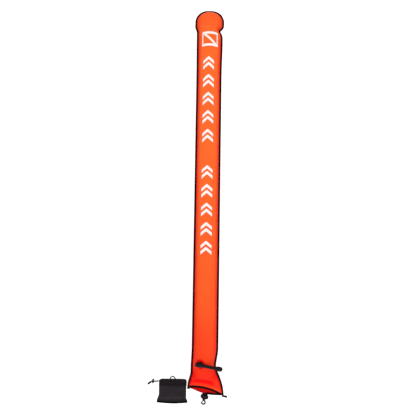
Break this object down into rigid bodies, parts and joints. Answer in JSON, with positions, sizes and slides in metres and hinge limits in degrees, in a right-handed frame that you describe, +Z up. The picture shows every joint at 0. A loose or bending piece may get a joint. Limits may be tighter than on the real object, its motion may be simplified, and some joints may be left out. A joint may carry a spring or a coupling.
{
  "type": "surface marker buoy",
  "caption": "Inflatable diver's signal tube with a flared open mouth, a swivelling oral inflator, a snap hook on a webbing tab, and a drawstring storage pouch lying beside it",
  "frame": {"origin": "on the floor under the middle of the inflated tube, on the narrow strip of the back panel that the floor flattens", "axes": "+Y runs along the tube from the mouth to the head, +Z is up, and +X is to the right of someone who looks down on it with the head away from them"},
  "size_m": [0.3717, 1.8656, 0.1248],
  "materials": {
    "coated_nylon": "fluorescent orange coated nylon, semi-gloss",
    "baffle_nylon": "orange coated nylon",
    "binding_tape": "black woven tape",
    "webbing": "black webbing",
    "rubber": "satin black rubber",
    "moulded_plastic": "black moulded plastic",
    "silicone_seal": "grey silicone",
    "stainless_steel": "stainless steel wire",
    "pouch_nylon": "black woven nylon",
    "cord": "black braided cord"
  },
  "bodies": {
    "bag": {"front_panel": "coated_nylon", "back_panel": "coated_nylon", "edge_binding": "binding_tape", "front_lip_binding": "binding_tape", "back_lip_binding": "binding_tape", "front_baffle": "baffle_nylon", "back_baffle": "baffle_nylon", "corner_loop": "binding_tape", "corner_tail": "binding_tape", "inflator_patch": "coated_nylon", "inflator_hub": "rubber", "webbing_tab": "webbing"},
    "elbow": {"inflator_elbow": "moulded_plastic", "rubber_hose": "rubber"},
    "mouthpiece": {"mouthpiece_body": "moulded_plastic", "valve_spring": "stainless_steel"},
    "valve": {"valve_plunger": "moulded_plastic", "valve_seal": "silicone_seal"},
    "eye": {"swivel_eye": "moulded_plastic"},
    "hook": {"snap_hook": "moulded_plastic", "gate_pin": "stainless_steel"},
    "gate": {"snap_gate": "moulded_plastic"},
    "pouch": {"pouch_front": "pouch_nylon", "pouch_back": "pouch_nylon", "pouch_binding": "binding_tape", "pouch_hem": "pouch_nylon", "carry_loop": "cord", "drawcord_hem": "cord", "cord_tail_upper": "cord", "cord_tail_lower": "cord", "cord_end": "moulded_plastic"},
    "lock": {"cord_lock_body": "moulded_plastic", "cord_lock_spring": "stainless_steel"},
    "lock_button": {"cord_lock_plunger": "moulded_plastic"}
  },
  "joints": [
    {"name": "inflator_swivel", "type": "hinge", "parent": "bag", "child": "elbow", "pos_m": [-0.01825, -0.753, 0.09988], "axis": [-0.2785, 0.0266, 0.9601], "range_deg": [-30, 30]},
    {"name": "hose_bend", "type": "hinge", "parent": "elbow", "child": "mouthpiece", "pos_m": [0.0186, -0.76131, 0.11381], "axis": [-0.2079, -0.9781, 0], "range_deg": [-10, 45], "stiffness_Nm_per_rad": 0.06, "springref_deg": 3.44, "deforming": ["rubber_hose"]},
    {"name": "mouthpiece_valve", "type": "slide", "parent": "mouthpiece", "child": "valve", "axis": [-0.9781, 0.2079, 0], "range_m": [0, 0.0023], "stiffness_N_per_m": 400, "springref_m": -0.002, "deforming": ["valve_spring"]},
    {"name": "snap_swing", "type": "hinge", "parent": "bag", "child": "eye", "pos_m": [0.0015, -0.9257, 0.0051], "axis": [-0.9744, 0.225, 0], "range_deg": [0, 110]},
    {"name": "snap_swivel", "type": "hinge", "parent": "eye", "child": "hook", "pos_m": [0.0015, -0.9257, 0.0051], "axis": [-0.225, -0.9744, 0], "continuous": true},
    {"name": "gate_swing", "type": "hinge", "parent": "hook", "child": "gate", "pos_m": [-0.0066, -0.94477, 0.0051], "axis": [0, 0, 1], "range_deg": [0, 25], "stiffness_Nm_per_rad": 0.01, "springref_deg": -22.92},
    {"name": "pouch_lift", "type": "slide", "parent": "bag", "child": "pouch", "axis": [0, 0, 1], "range_m": [0, 0.15]},
    {"name": "cord_lock_slide", "type": "slide", "parent": "pouch", "child": "lock", "axis": [1, 0, 0], "range_m": [-0.001, 0.008]},
    {"name": "cord_lock_press", "type": "slide", "parent": "lock", "child": "lock_button", "axis": [0, -1, 0], "range_m": [0, 0.0024], "stiffness_N_per_m": 600, "springref_m": -0.001, "deforming": ["cord_lock_spring"]}
  ]
}
